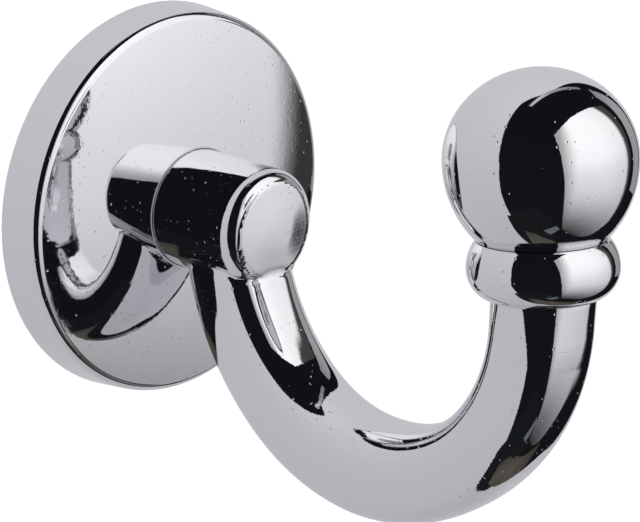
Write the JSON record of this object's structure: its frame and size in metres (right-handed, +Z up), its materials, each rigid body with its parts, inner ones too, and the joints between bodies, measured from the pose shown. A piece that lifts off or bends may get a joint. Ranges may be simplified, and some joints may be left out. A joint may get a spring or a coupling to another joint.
{
  "type": "robe hook",
  "caption": "Polished robe hook: a round domed rose carries a short stem and a J-shaped arm that ends in a collar and a ball, over a hidden wall bracket.",
  "frame": {"origin": "middle of the wall bracket's back face, on the wall plane and on the axis of the rose and the stem", "axes": "+Y into the wall, -Y out of the wall towards the user, +Z up, +X to the right seen from the front"},
  "size_m": [0.055, 0.0972, 0.0623],
  "materials": {
    "chrome": "polished chrome plate on a zinc casting",
    "bracket_metal": "bare zinc casting, dull",
    "plated_steel": "zinc plated steel",
    "black_steel": "black oxide on steel"
  },
  "bodies": {
    "hook": {"rose": "chrome", "hook_body": "chrome", "collar": "chrome", "ball_knob": "chrome", "knob_stud": "plated_steel", "hook_screw": "plated_steel", "wall_bracket": "bracket_metal", "wall_screw_upper": "plated_steel", "wall_screw_lower": "plated_steel"},
    "grub": {"grub_screw": "black_steel"}
  },
  "joints": [
    {"name": "grub_screw_travel", "type": "slide", "parent": "hook", "child": "grub", "axis": [0, 0, -1], "range_m": [0, 0.0025]}
  ]
}
